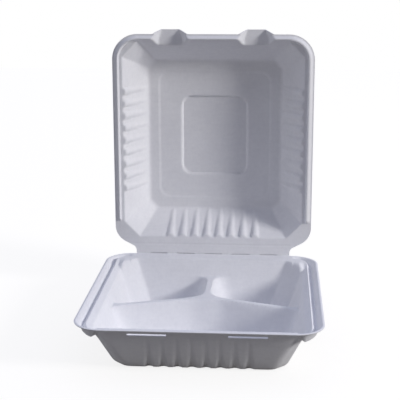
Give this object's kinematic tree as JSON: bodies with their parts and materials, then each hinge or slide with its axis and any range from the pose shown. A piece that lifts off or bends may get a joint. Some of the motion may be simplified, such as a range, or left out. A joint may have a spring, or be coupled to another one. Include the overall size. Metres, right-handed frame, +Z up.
{
  "type": "molded fiber clamshell container",
  "caption": "Hinged takeaway container pressed from plant fibre: a square tray with a Y-shaped divider and a deep ribbed lid with locking tabs, standing open on its fold.",
  "frame": {"origin": "middle of the tray's mouth in plan, on the tray's flat underside", "axes": "+Z up, -Y towards the tray's front edge with its locking slots, +X to the right; the fold runs along X at the back"},
  "size_m": [0.203, 0.2483, 0.2611],
  "materials": {
    "fibre": "matt pressed plant fibre, off-white"
  },
  "bodies": {
    "tray": {"base_tray": "fibre"},
    "cover": {"lid": "fibre"}
  },
  "joints": [
    {"name": "lid_fold", "type": "hinge", "parent": "tray", "child": "cover", "pos_m": [0, 0.1116, 0.04265], "axis": [1, 0, 0], "range_deg": [-89.5, 89.5]}
  ]
}
